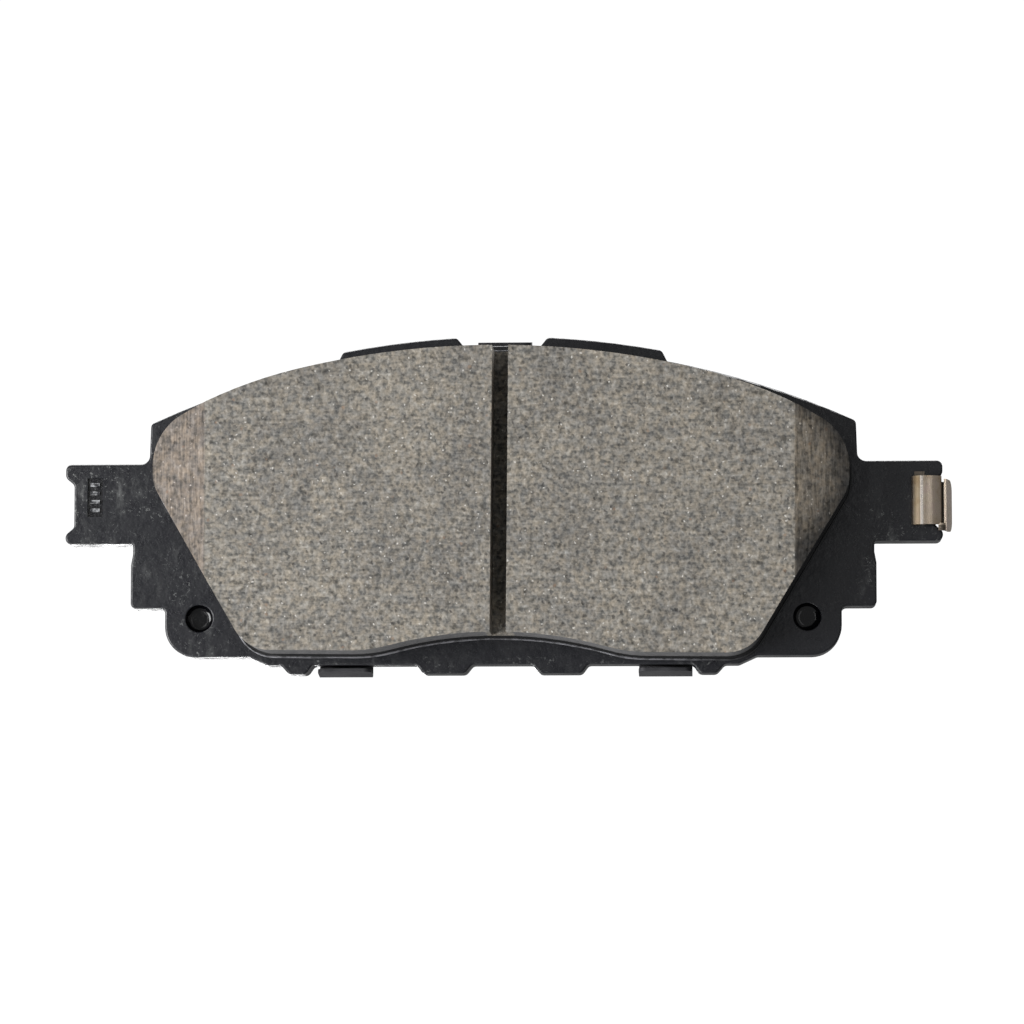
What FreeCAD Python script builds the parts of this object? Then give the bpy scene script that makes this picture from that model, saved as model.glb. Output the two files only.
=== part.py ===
import FreeCAD, Part
import math
import os
import Sketcher

# Front disc-brake pad, in millimetres. X runs along the pad from ear to ear, +Z is radially outward from
# the wheel's axis, and +Y points from the disc to the caliper piston. The origin is on the outer shim's rear
# face, where the piston presses, at mid length and at the ears' mid height.

DIMENSIONS = [
    # alias, value, meaning
    ("outer_shim_gauge", 0.5, "outer shim sheet"),
    ("rubber_gauge", 0.12, "each rubber coat of the inner shim"),
    ("inner_core_gauge", 0.66, "steel core of the inner shim"),
    ("plate_gauge", 5.5, "backing plate"),
    ("film_gauge", 0.15, "bonding adhesive"),
    ("underlayer_gauge", 1.6, "underlayer"),
    ("friction_gauge", 8.75, "friction block"),
    ("ear_reach", 65.6, "mid length to an ear's end"),
    ("ear_half_height", 6.0, "half of an ear's height"),
    ("ear_corner_round", 0.9, "ear's outer corners"),
    ("hook_round", 1.0, "hooks each side of the notch"),
    ("notch_round", 0.8, "corners of the notch floor"),
    ("notch_depth", 1.3, "notch in an ear's end"),
    ("notch_floor_half", 3.2, "half of the notch floor"),
    ("notch_mouth_half", 4.3, "half of the notch mouth"),
    ("notch_middle", -0.3, "height of the notch's middle"),
    ("crown_radius", 126.6, "plate's outer edge"),
    ("crown_height", 23.57, "plate's outer edge at mid length"),
    ("lug_height", 1.42, "outer lugs above the plate's outer edge"),
    ("shoulder_reach", 52.8, "mid length to the shoulder's corner"),
    ("ear_root_reach", 53.0, "mid length to the ear's upper root"),
    ("hip_reach", 55.7, "plate below the ears"),
    ("hip_bottom", -15.7, "lower end of the hips"),
    ("corner_reach", 50.5, "lower corners of the plate"),
    ("corner_bottom", -23.0, "lower edge at the corners"),
    ("middle_bottom", -24.24, "lower edge between the corners"),
    ("lower_lug_bottom", -25.6, "lower ends of the lower lugs"),
    ("lower_corner_round", 4.5, "lower corners of the plate"),
    ("root_round", 1.3, "ears' upper roots"),
    ("under_root_round", 0.4, "ears' lower roots"),
    ("small_round", 0.8, "hips, outer lugs and steps"),
    ("lower_lug_round", 1.0, "ends of the lower lugs"),
    ("lower_lug_root_round", 0.8, "roots of the lower lugs"),
    ("rim_round", 0.35, "die roll on the plate's front rim"),
    ("rim_bevel", 0.2, "rear rim of the plate"),
    ("dimple_reach", 45.35, "mid length to a half-shear dimple"),
    ("dimple_height", -17.25, "height of the dimples"),
    ("dimple_radius", 2.0, "dimple in the plate's front"),
    ("dimple_depth", 1.6, "dimple in the plate's front"),
    ("dimple_rim_round", 0.25, "dimple's rim"),
    ("dimple_floor_round", 0.9, "dimple's floor"),
    ("stud_radius", 1.8, "stud that each dimple pushes out behind"),
    ("stud_height", 1.2, "stud above the plate's rear face"),
    ("key_hole_radius", 3.5, "bonding holes through the plate"),
    ("key_hole_reach", 15.0, "mid length to a bonding hole"),
    ("key_hole_height", 2.0, "height of the bonding holes"),
    ("mark_depth", 0.4, "stamped field on one ear"),
    ("block_tilt", 0.5, "degrees that the moulded block sits askew"),
    ("block_crown_radius", 125.5, "block's outer edge"),
    ("block_crown_height", 22.36, "block's outer edge at mid length"),
    ("block_reach", 51.55, "mid length to the block's end"),
    ("block_bottom", -22.95, "block's inner edge"),
    ("block_arch", 2.9, "rise of the inner edge at mid length"),
    ("film_margin", 0.55, "adhesive squeezed out round the block"),
    ("slot_width", 2.4, "centre slot"),
    ("slot_depth", 8.0, "centre slot"),
    ("chamfer_reach", 43.5, "mid length to where an end chamfer starts"),
    ("chamfer_depth", 2.7, "depth of an end chamfer at the block's end"),
    ("shim_margin", 0.8, "shims inside the plate's outer edge"),
    ("shim_bottom", -23.5, "shims' lower edge"),
    ("stud_hole_radius", 2.15, "hole in the inner shim round a stud"),
    ("shim_float", 0.25, "outer shim's sideways play, taken up towards the clip"),
    ("claw_width", 8.0, "shim claws"),
    ("claw_reach", 24.0, "mid length to a lower claw"),
    ("claw_length", 4.95, "shim claws, forward of the sheet's middle"),
    ("claw_lean", 8.0, "degrees that a claw leans in towards its tip"),
    ("lower_claw_root", -25.6, "height of a lower claw's bend"),
    ("upper_claw_root", 24.7, "height of the upper claw's bend"),
    ("claw_tip_round", 1.1, "corners of a claw's tip"),
    ("clip_gauge", 0.36, "ear clip strip"),
    ("clip_band_top", 3.57, "upper edge of the clip's front band"),
    ("clip_band_height", 7.26, "clip's front band"),
    ("clip_web_top", 2.6, "upper edge of the clip's web"),
    ("clip_web_height", 5.8, "clip's web, inside the ear's notch"),
    ("clip_wing_top", 3.13, "upper edge of the clip's wing"),
    ("clip_wing_height", 7.73, "clip's wing"),
    ("clip_link_height", 1.1, "strip that joins the wing to the band"),
    ("clip_link_overlap", 0.2, "link above the band's lower edge"),
    ("clip_wing_round", 1.7, "rear corners of the wing"),
    ("clip_bridge_top", 2.9, "upper edge of the bridge from the web to the wing"),
    ("clip_bridge_height", 6.9, "bridge from the web to the wing"),
    ("clip_tab_rise", 0.72, "clip's tab above the band"),
]

doc = FreeCAD.newDocument("brake_pad")
sheet = doc.addObject("Spreadsheet::Sheet", "Sizes")
for row, (alias, value, meaning) in enumerate(DIMENSIONS, start=1):
    sheet.set(f"A{row}", meaning)
    sheet.set(f"B{row}", str(value))
    sheet.setAlias(f"B{row}", alias)
doc.recompute()


def size(alias):
    return float(sheet.get(alias))


# Depths of the faces between the layers, from the piston side to the disc side. Each is a distance along -Y.
SHIM_FRONT = size("outer_shim_gauge")
CORE_BACK = SHIM_FRONT + size("rubber_gauge")
CORE_FRONT = CORE_BACK + size("inner_core_gauge")
PLATE_BACK = CORE_FRONT + size("rubber_gauge")
PLATE_FRONT = PLATE_BACK + size("plate_gauge")
FILM_FRONT = PLATE_FRONT + size("film_gauge")
UNDERLAYER_FRONT = FILM_FRONT + size("underlayer_gauge")
BLOCK_FACE = UNDERLAYER_FRONT + size("friction_gauge")

PLATE_BACK_EXPRESSION = "Sizes.outer_shim_gauge + 2 * Sizes.rubber_gauge + Sizes.inner_core_gauge"
PLATE_FRONT_EXPRESSION = PLATE_BACK_EXPRESSION + " + Sizes.plate_gauge"
FILM_FRONT_EXPRESSION = PLATE_FRONT_EXPRESSION + " + Sizes.film_gauge"
UNDERLAYER_FRONT_EXPRESSION = FILM_FRONT_EXPRESSION + " + Sizes.underlayer_gauge"


# ---------------------------------------------------------------- outlines

def point(x, y):
    return FreeCAD.Vector(x, y, 0)


def line(start, end):
    return ("line", start, end)


def arc(start, through, end):
    return ("arc", start, through, end)


def on_circle(centre, radius, degrees):
    angle = math.radians(degrees)
    return centre + point(radius * math.cos(angle), radius * math.sin(angle))


def crown_point(radius, height, x):
    """The point at x on a circle whose top is at the given height on the centre line."""
    return point(x, height - radius + math.sqrt(radius**2 - x**2))


def crown_arc(radius, height, start_x, end_x):
    middle_x = (start_x + end_x) / 2
    return arc(*(crown_point(radius, height, x) for x in (start_x, middle_x, end_x)))


def chain(points):
    return [line(a, b) for a, b in zip(points, points[1:])]


def mirrored(segments):
    """The segments' mirror image about the centre line, in the order that closes the loop."""
    flipped = []
    for kind, *points in reversed(segments):
        flipped.append((kind, *(point(-p.x, p.y) for p in reversed(points))))
    return flipped


def whole(half):
    return half + mirrored(half)


def rounded_path(corners):
    """Lines and tangent arcs along corners given as (x, y, radius); the two ends have radius 0."""
    segments = []
    here = point(*corners[0][:2])
    for before, corner, after in zip(corners, corners[1:], corners[2:]):
        middle = point(*corner[:2])
        radius = corner[2]
        along_in = (middle - point(*before[:2])).normalize()
        along_out = (point(*after[:2]) - middle).normalize()
        turn = along_in.getAngle(along_out)
        reach = radius * math.tan(turn / 2)
        start = middle - along_in * reach
        end = middle + along_out * reach
        towards_centre = (along_out - along_in).normalize()
        centre = middle + towards_centre * (radius / math.cos(turn / 2))
        segments.append(line(here, start))
        segments.append(arc(start, centre - towards_centre * radius, end))
        here = end
    segments.append(line(here, point(*corners[-1][:2])))
    return segments


def left_normal(vector):
    return point(-vector.y, vector.x).normalize()


def strip(corners, thickness):
    """The closed outline of a bent strip whose middle line follows the corners."""
    middle_line = rounded_path(corners)
    sides = []
    for shift in (thickness / 2, -thickness / 2):
        side = []
        for kind, *points in middle_line:
            if kind == "line":
                offset = left_normal(points[1] - points[0]) * shift
                side.append(line(points[0] + offset, points[1] + offset))
            else:
                start, through, end = points
                chord_left = left_normal(end - start)
                bulge = through - (start + end) * 0.5
                sign = 1 if chord_left.dot(bulge) > 0 else -1
                half_chord = (end - start).Length / 2
                radius = (half_chord**2 + bulge.Length**2) / (2 * bulge.Length)
                centre = through - bulge.normalize() * radius
                scale = (radius + sign * shift) / radius
                side.append(arc(*(centre + (p - centre) * scale for p in points)))
        sides.append(side)
    near, far = sides
    back = [(kind, *reversed(points)) for kind, *points in reversed(far)]
    return near + [line(near[-1][-1], back[0][1])] + back + [line(back[-1][-1], near[0][1])]


def box_outline(left, right, bottom, top):
    corners = [point(left, bottom), point(right, bottom), point(right, top), point(left, top)]
    return chain(corners + corners[:1])


# ---------------------------------------------------------------- document helpers

ALONG_Y = "XZ_Plane"
ALONG_X = "YZ_Plane"
ALONG_Z = "XY_Plane"


def new_body(name):
    body = doc.addObject("PartDesign::Body", name)
    body.Label = name
    body.Placement = FreeCAD.Placement()
    return body


def new_sketch(body, name, plane, offset="0", tilt=None):
    """A sketch on one of the body's origin planes, moved along the plane's normal by an expression."""
    sketch = body.newObject("Sketcher::SketchObject", name)
    support = [f for f in body.Origin.OriginFeatures if f.Role == plane][0]
    sketch.AttachmentSupport = [(support, "")]
    sketch.MapMode = "FlatFace"
    if tilt is not None:
        sketch.AttachmentOffset = FreeCAD.Placement(FreeCAD.Vector(), FreeCAD.Rotation(*tilt))
    sketch.setExpression("AttachmentOffset.Base.z", offset)
    return sketch


def draw(sketch, loop):
    """Adds a closed loop of lines and arcs, with each end joined to the next segment's start."""
    first = sketch.GeometryCount
    for kind, *points in loop:
        sketch.addGeometry(Part.LineSegment(*points) if kind == "line" else Part.Arc(*points), False)
    joints = []
    for index, segment in enumerate(loop):
        this = first + index
        following = first + (index + 1) % len(loop)
        meeting = segment[-1]
        joints.append(Sketcher.Constraint("Coincident", this, end_at(sketch, this, meeting),
                                          following, end_at(sketch, following, meeting)))
    sketch.addConstraint(joints)


def end_at(sketch, geometry, place):
    """1 or 2: which end of a sketch line or arc lies at a place."""
    distances = [(sketch.getPoint(geometry, end) - place).Length for end in (1, 2)]
    return 1 + distances.index(min(distances))


def draw_circle(sketch, x, y, radius, x_expression, y_expression, radius_expression):
    circle = sketch.addGeometry(Part.Circle(point(x, y), FreeCAD.Vector(0, 0, 1), radius), False)
    for kind, value, expression in (("DistanceX", x, x_expression), ("DistanceY", y, y_expression)):
        index = sketch.addConstraint(Sketcher.Constraint(kind, -1, 1, circle, 3, value))
        sketch.setExpression(f"Constraints[{index}]", expression)
    index = sketch.addConstraint(Sketcher.Constraint("Radius", circle, radius))
    sketch.setExpression(f"Constraints[{index}]", radius_expression)


def pad(body, name, sketch, length, reversed_way=False, midplane=False):
    feature = body.newObject("PartDesign::Pad", name)
    feature.Profile = sketch
    feature.setExpression("Length", length)
    feature.Reversed = reversed_way
    feature.Midplane = midplane
    doc.recompute()
    return feature


def pocket(body, name, sketch, length=None, through=False):
    """Cuts a sketch into the body, and stops the build if nothing was removed."""
    before = body.Shape.Volume
    feature = body.newObject("PartDesign::Pocket", name)
    feature.Profile = sketch
    if through:
        feature.Type = "ThroughAll"
        feature.Midplane = True
    else:
        feature.setExpression("Length", length)
    doc.recompute()
    if body.Shape.Volume > before - 1e-3:
        raise RuntimeError(f"{name} removes nothing")
    return feature


def dress(body, kind, name, edges, size_property, expression):
    """A PartDesign Fillet or Chamfer on edges of the body's present shape."""
    base = body.Tip
    feature = body.newObject(f"PartDesign::{kind}", name)
    feature.Base = (base, edges)
    feature.setExpression(size_property, expression)
    doc.recompute()
    if "Invalid" in feature.State or feature.Shape.isNull():
        raise RuntimeError(f"{name} failed")
    return feature


def edges_at(shape, axis, places, tolerance=0.05):
    """Names of the straight edges along an axis through the given places in the plane across it."""
    across = [i for i in range(3) if i != axis]
    names = []
    for index, edge in enumerate(shape.Edges, start=1):
        ends = [vertex.Point for vertex in edge.Vertexes]
        if len(ends) != 2:
            continue
        run = ends[1] - ends[0]
        if abs(abs(run[axis]) - run.Length) > 1e-6:
            continue
        for place in places:
            if math.hypot(ends[0][across[0]] - place[0], ends[0][across[1]] - place[1]) < tolerance:
                names.append(f"Edge{index}")
    return names


def rim_edges(shape, y):
    """Names of the edges that lie in the plane at a depth y."""
    return [f"Edge{index}" for index, edge in enumerate(shape.Edges, start=1)
            if edge.BoundBox.YMax < y + 1e-4 and edge.BoundBox.YMin > y - 1e-4]


def circle_edges(shape, radius, y):
    """Names of the whole circles of a radius that lie in the plane at a depth y."""
    names = rim_edges(shape, y)
    edges = [shape.getElement(name) for name in names]
    return [name for name, edge in zip(names, edges)
            if isinstance(edge.Curve, Part.Circle) and abs(edge.Curve.Radius - radius) < 1e-4]


def both_sides(places):
    return [(side * x, z) for x, z in places for side in (1, -1)]


# ---------------------------------------------------------------- backing plate

CROWN = (size("crown_radius"), size("crown_height"))
LUG_CROWN = (size("crown_radius") + size("lug_height"), size("crown_height") + size("lug_height"))
LUG_INNER_ROOT = 5.7
LUG_INNER_TOP = 6.8
LUG_OUTER_TOP = 23.9
LUG_OUTER_ROOT = 24.7
HIP_EASE = (55.4, -7.6, -9.2)    # reach just under the ear, and the heights where it widens to the full hip
STEP_OUTER = 37.9                # the lower edge steps down between these two
STEP_INNER = 35.2
SIDE_LUG = ((33.1, 31.9), (29.3, 28.4))      # root and end on the outer side, end and root on the inner side
MIDDLE_LUG = ((12.8, 11.8), (5.6, 4.5))


def lower_lug(lug):
    (outer_root, outer_end), (inner_end, inner_root) = lug
    bottom = size("middle_bottom")
    end = size("lower_lug_bottom")
    return [(outer_root, bottom), (outer_end, end), (inner_end, end), (inner_root, bottom)]


def plate_half():
    """The plate's right-hand half, from the top of the centre line to its bottom."""
    reach = size("ear_reach")
    ear = size("ear_half_height")
    floor = reach - size("notch_depth")
    middle = size("notch_middle")
    ease_reach, ease_top, ease_bottom = HIP_EASE
    shoulder = crown_point(*CROWN, size("shoulder_reach"))
    edge = [
        crown_arc(*CROWN, 0, LUG_INNER_ROOT),
        line(crown_point(*CROWN, LUG_INNER_ROOT), crown_point(*LUG_CROWN, LUG_INNER_TOP)),
        crown_arc(*LUG_CROWN, LUG_INNER_TOP, LUG_OUTER_TOP),
        line(crown_point(*LUG_CROWN, LUG_OUTER_TOP), crown_point(*CROWN, LUG_OUTER_ROOT)),
        crown_arc(*CROWN, LUG_OUTER_ROOT, size("shoulder_reach")),
    ]
    corners = [
        (shoulder.x, shoulder.y),
        (size("ear_root_reach"), ear),
        (reach, ear),
        (reach, middle + size("notch_mouth_half")),
        (floor, middle + size("notch_floor_half")),
        (floor, middle - size("notch_floor_half")),
        (reach, middle - size("notch_mouth_half")),
        (reach, -ear),
        (ease_reach, -ear),
        (ease_reach, ease_top),
        (size("hip_reach"), ease_bottom),
        (size("hip_reach"), size("hip_bottom")),
        (size("corner_reach"), size("hip_bottom")),
        (size("corner_reach"), size("corner_bottom")),
        (STEP_OUTER, size("corner_bottom")),
        (STEP_INNER, size("middle_bottom")),
        *lower_lug(SIDE_LUG),
        *lower_lug(MIDDLE_LUG),
        (0, size("middle_bottom")),
    ]
    return edge + chain([point(*corner) for corner in corners])


def round_plate(body):
    """Rounds the punched outline's corners, then its two rims."""
    reach = size("ear_reach")
    ear = size("ear_half_height")
    middle = size("notch_middle")
    mouth = size("notch_mouth_half")
    small = [
        (size("hip_reach"), size("hip_bottom")),
        (size("corner_reach"), size("hip_bottom")),
        (STEP_OUTER, size("corner_bottom")),
        (STEP_INNER, size("middle_bottom")),
        (size("shoulder_reach"), crown_point(*CROWN, size("shoulder_reach")).y),
        (LUG_OUTER_TOP, crown_point(*LUG_CROWN, LUG_OUTER_TOP).y),
        (LUG_INNER_TOP, crown_point(*LUG_CROWN, LUG_INNER_TOP).y),
    ]
    lug_corners = [lower_lug(SIDE_LUG), lower_lug(MIDDLE_LUG)]
    lug_ends = [corner for corners in lug_corners for corner in corners[1:3]]
    lug_roots = [corner for corners in lug_corners for corner in (corners[0], corners[3])]
    floor = reach - size("notch_depth")
    floor_half = size("notch_floor_half")
    groups = [
        ("LowerCornerRound", "lower_corner_round", [(size("corner_reach"), size("corner_bottom"))]),
        ("RootRound", "root_round", [(size("ear_root_reach"), ear)]),
        ("UnderRootRound", "under_root_round", [(HIP_EASE[0], -ear)]),
        ("EarCornerRound", "ear_corner_round", [(reach, ear), (reach, -ear)]),
        ("HookRound", "hook_round", [(reach, middle + mouth), (reach, middle - mouth)]),
        ("NotchRound", "notch_round", [(floor, middle + floor_half), (floor, middle - floor_half)]),
        ("SmallRound", "small_round", small),
        ("LowerLugRound", "lower_lug_round", lug_ends),
        ("LowerLugRootRound", "lower_lug_root_round", lug_roots),
    ]
    for name, alias, places in groups:
        edges = edges_at(body.Shape, 1, both_sides(places))
        dress(body, "Fillet", name, edges, "Radius", f"Sizes.{alias}")
    dress(body, "Fillet", "FrontRimRound", rim_edges(body.Shape, -PLATE_FRONT), "Radius", "Sizes.rim_round")
    dress(body, "Chamfer", "RearRimBevel", rim_edges(body.Shape, -PLATE_BACK), "Size", "Sizes.rim_bevel")


def draw_pairs(sketch, reach, height, radius):
    """Two circles, one each side of the centre line, bound to three of the sheet's sizes."""
    for sign in ("", "-"):
        x = size(reach) if sign == "" else -size(reach)
        draw_circle(sketch, x, size(height), size(radius),
                    f"{sign}Sizes.{reach}", f"Sizes.{height}", f"Sizes.{radius}")


MARK_LEFT, MARK_RIGHT = -62.3, -60.0
MARK_BOTTOM, MARK_TOP = -1.9, 3.9
MARK_BARS = 4
MARK_BAR_HEIGHT = 0.55
MARK_BAR_INSET = 0.45            # from a bar's end to the edge of the stamped field


def stamp_mark(body):
    """A plain stamped field of raised bars on the left-hand ear, where a maker would put a mark."""
    sketch = new_sketch(body, "MarkSketch", ALONG_Y, PLATE_FRONT_EXPRESSION)
    draw(sketch, box_outline(MARK_LEFT, MARK_RIGHT, MARK_BOTTOM, MARK_TOP))
    gap = (MARK_TOP - MARK_BOTTOM - MARK_BARS * MARK_BAR_HEIGHT) / (MARK_BARS + 1)
    for bar in range(MARK_BARS):
        base = MARK_BOTTOM + gap + bar * (MARK_BAR_HEIGHT + gap)
        draw(sketch, box_outline(MARK_LEFT + MARK_BAR_INSET, MARK_RIGHT - MARK_BAR_INSET,
                                 base, base + MARK_BAR_HEIGHT))
    pocket(body, "Mark", sketch, "Sizes.mark_depth")


def make_backing_plate():
    body = new_body("backing_plate")
    outline = new_sketch(body, "PlateOutline", ALONG_Y, PLATE_BACK_EXPRESSION)
    draw(outline, whole(plate_half()))
    pad(body, "PlatePad", outline, "Sizes.plate_gauge")
    round_plate(body)
    dimples = new_sketch(body, "DimpleSketch", ALONG_Y, PLATE_FRONT_EXPRESSION)
    draw_pairs(dimples, "dimple_reach", "dimple_height", "dimple_radius")
    pocket(body, "Dimples", dimples, "Sizes.dimple_depth")
    floor_depth = -PLATE_FRONT + size("dimple_depth")
    for name, alias, y in (("DimpleFloorRound", "dimple_floor_round", floor_depth),
                           ("DimpleRimRound", "dimple_rim_round", -PLATE_FRONT)):
        edges = circle_edges(body.Shape, size("dimple_radius"), y)
        dress(body, "Fillet", name, edges, "Radius", f"Sizes.{alias}")
    studs = new_sketch(body, "StudSketch", ALONG_Y, PLATE_BACK_EXPRESSION)
    draw_pairs(studs, "dimple_reach", "dimple_height", "stud_radius")
    pad(body, "Studs", studs, "Sizes.stud_height", reversed_way=True)
    holes = new_sketch(body, "KeyHoleSketch", ALONG_Y, PLATE_FRONT_EXPRESSION)
    draw_pairs(holes, "key_hole_reach", "key_hole_height", "key_hole_radius")
    pocket(body, "KeyHoles", holes, "Sizes.plate_gauge")
    stamp_mark(body)
    return body


# ---------------------------------------------------------------- moulded block and what bonds it

BLOCK_SHOULDER = 30.0            # where the outer edge starts to fall away faster
BLOCK_SHOULDER_RADIUS = 69.0
BLOCK_SHOULDER_TURN = 15.6       # degrees
BLOCK_SIDE_AT = (44.6, -10.0)    # a point on the sloping side
BLOCK_SIDE_ANGLE = 59.5          # degrees between the sloping side and the inner edge
BLOCK_SIDE_ROUND = 6.0
ARCH_RADIUS = 62.0
ARCH_FOOT_RADIUS = 22.0


def block_half(margin):
    """The moulded block's right-hand half, grown outward by a margin."""
    radius = size("block_crown_radius") + margin
    height = size("block_crown_height") + margin
    reach = size("block_reach") + margin
    bottom = size("block_bottom") - margin

    crown_end = crown_point(radius, height, BLOCK_SHOULDER)
    fall = math.degrees(math.asin(BLOCK_SHOULDER / radius))
    shoulder_radius = BLOCK_SHOULDER_RADIUS + margin
    shoulder_centre = on_circle(crown_end, shoulder_radius, -90 - fall)
    shoulder_middle = on_circle(shoulder_centre, shoulder_radius, 90 - fall - BLOCK_SHOULDER_TURN / 2)
    shoulder_end = on_circle(shoulder_centre, shoulder_radius, 90 - fall - BLOCK_SHOULDER_TURN)

    end_angle = 90 - fall - BLOCK_SHOULDER_TURN
    end_radius = (reach - shoulder_end.x) / (1 - math.cos(math.radians(end_angle)))
    end_centre = on_circle(shoulder_end, end_radius, end_angle + 180)
    end_middle = on_circle(end_centre, end_radius, end_angle / 2)
    end_point = on_circle(end_centre, end_radius, 0)

    slope = math.tan(math.radians(BLOCK_SIDE_ANGLE))
    side_x, side_z = BLOCK_SIDE_AT
    side_x += margin / math.sin(math.radians(BLOCK_SIDE_ANGLE))
    side_top = (reach, side_z + (reach - side_x) * slope)
    side_bottom = (side_x - (side_z - bottom) / slope, bottom)

    rise = size("block_arch")
    turn = math.degrees(math.acos(1 - rise / (ARCH_RADIUS + ARCH_FOOT_RADIUS)))
    foot_centre = point((ARCH_RADIUS + ARCH_FOOT_RADIUS) * math.sin(math.radians(turn)),
                        bottom + ARCH_FOOT_RADIUS)
    arch_centre = point(0, bottom + rise - ARCH_RADIUS)
    foot_start = on_circle(foot_centre, ARCH_FOOT_RADIUS, -90)
    foot_end = on_circle(foot_centre, ARCH_FOOT_RADIUS, -90 - turn)

    side = rounded_path([
        (end_point.x, end_point.y, 0),
        (*side_top, BLOCK_SIDE_ROUND),
        (*side_bottom, BLOCK_SIDE_ROUND),
        (foot_start.x, foot_start.y, 0),
    ])
    return [
        crown_arc(radius, height, 0, BLOCK_SHOULDER),
        arc(crown_end, shoulder_middle, shoulder_end),
        arc(shoulder_end, end_middle, end_point),
        *side,
        arc(foot_start, on_circle(foot_centre, ARCH_FOOT_RADIUS, -90 - turn / 2), foot_end),
        arc(foot_end, on_circle(arch_centre, ARCH_RADIUS, 90 - turn / 2), point(0, bottom + rise)),
    ]


def block_sketch(body, name, offset, margin=0.0):
    sketch = new_sketch(body, name, ALONG_Y, offset, tilt=(FreeCAD.Vector(0, 0, 1), -size("block_tilt")))
    draw(sketch, whole(block_half(margin)))
    return sketch


def make_adhesive_film():
    body = new_body("adhesive_film")
    outline = block_sketch(body, "FilmOutline", PLATE_FRONT_EXPRESSION, size("film_margin"))
    pad(body, "FilmPad", outline, "Sizes.film_gauge")
    holes = new_sketch(body, "FilmHoleSketch", ALONG_Y, FILM_FRONT_EXPRESSION)
    draw_pairs(holes, "key_hole_reach", "key_hole_height", "key_hole_radius")
    pocket(body, "FilmHoles", holes, "Sizes.film_gauge")
    return body


def make_underlayer():
    """The layer under the friction material, with the plugs that it fills the plate's bonding holes with."""
    body = new_body("underlayer")
    outline = block_sketch(body, "UnderlayerOutline", FILM_FRONT_EXPRESSION)
    pad(body, "UnderlayerPad", outline, "Sizes.underlayer_gauge")
    plugs = new_sketch(body, "PlugSketch", ALONG_Y, FILM_FRONT_EXPRESSION)
    draw_pairs(plugs, "key_hole_reach", "key_hole_height", "key_hole_radius")
    pad(body, "Plugs", plugs, "Sizes.plate_gauge + Sizes.film_gauge", reversed_way=True)
    return body


def make_friction_block():
    body = new_body("friction_block")
    outline = block_sketch(body, "BlockOutline", UNDERLAYER_FRONT_EXPRESSION)
    pad(body, "BlockPad", outline, "Sizes.friction_gauge")
    askew = (FreeCAD.Vector(0, 1, 0), size("block_tilt"))
    face = -BLOCK_FACE
    beyond = 1.0
    half_slot = size("slot_width") / 2
    slot = new_sketch(body, "SlotSketch", ALONG_Z, tilt=askew)
    draw(slot, box_outline(-half_slot, half_slot, face - beyond, face + size("slot_depth")))
    pocket(body, "Slot", slot, through=True)
    reach = size("chamfer_reach")
    end = size("block_reach") + beyond
    depth = size("chamfer_depth") * (end - reach) / (size("block_reach") - reach)
    chamfers = new_sketch(body, "ChamferSketch", ALONG_Z, tilt=askew)
    for side in (1, -1):
        corners = [point(side * reach, face), point(side * end, face + depth),
                   point(side * end, face - beyond), point(side * reach, face - beyond)]
        draw(chamfers, chain(corners + corners[:1]))
    pocket(body, "Chamfers", chamfers, through=True)
    return body


# ---------------------------------------------------------------- shims

SHIM_CROWN = (size("crown_radius") - size("shim_margin"), size("crown_height") - size("shim_margin"))
INNER_SHIM_SIDE = [(43.5, None), (46.6, -8.0), (49.2, -13.6), (49.2, -19.6), (46.0, -22.2), (37.2, -22.2)]
OUTER_SHIM_SIDE = [(41.0, None), (43.6, -9.0), (41.6, -20.6), (37.6, -22.2)]
SHIM_STEP = 34.8
CLAW_BEND_ROUND = 0.6
CLAW_OVERLAP = 0.6               # a claw's strip starts this far inside the sheet's edge


def shim_half(side):
    """A shim's right-hand half: the outer arc, the side's corners, and the lower edge."""
    first_x = side[0][0]
    start = crown_point(*SHIM_CROWN, first_x)
    corners = [start, *(point(*corner) for corner in side[1:]),
               point(SHIM_STEP, size("shim_bottom")), point(0, size("shim_bottom"))]
    return [crown_arc(*SHIM_CROWN, 0, first_x), *chain(corners)]


def round_shim(body, side, radius_expression):
    start = crown_point(*SHIM_CROWN, side[0][0])
    places = [(start.x, start.y), *side[1:-1]]
    edges = edges_at(body.Shape, 1, both_sides(places))
    dress(body, "Fillet", "ShimRound", edges, "Radius", radius_expression)


def make_inner_layer(name, offset, gauge):
    """One layer of the inner shim: its steel core, or a rubber coat of the same outline."""
    body = new_body(name)
    outline = new_sketch(body, "LayerOutline", ALONG_Y, offset)
    draw(outline, whole(shim_half(INNER_SHIM_SIDE)))
    pad(body, "LayerPad", outline, gauge)
    round_shim(body, INNER_SHIM_SIDE, "Sizes.stud_radius")
    holes = new_sketch(body, "StudHoleSketch", ALONG_Y, f"{offset} + {gauge}")
    draw_pairs(holes, "dimple_reach", "dimple_height", "stud_hole_radius")
    pocket(body, "StudHoles", holes, gauge)
    return body


def add_claw(body, name, centre_expression, root, start):
    """A tongue of the sheet, bent forward over the plate's edge and leaning in towards its tip."""
    gauge = size("outer_shim_gauge")
    length = size("claw_length")
    inward = -1 if root > 0 else 1
    tip = root + inward * length * math.tan(math.radians(size("claw_lean")))
    middle = -gauge / 2
    sketch = new_sketch(body, f"{name}Sketch", ALONG_X, centre_expression)
    corners = [(middle, start, 0), (middle, root, CLAW_BEND_ROUND), (middle - length, tip, 0)]
    draw(sketch, strip(corners, gauge))
    pad(body, name, sketch, "Sizes.claw_width", midplane=True)


WINDOW_INNER, WINDOW_OUTER = 17.5, 30.5      # centres of a window's two round ends
WINDOW_HALF = 3.0


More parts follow.
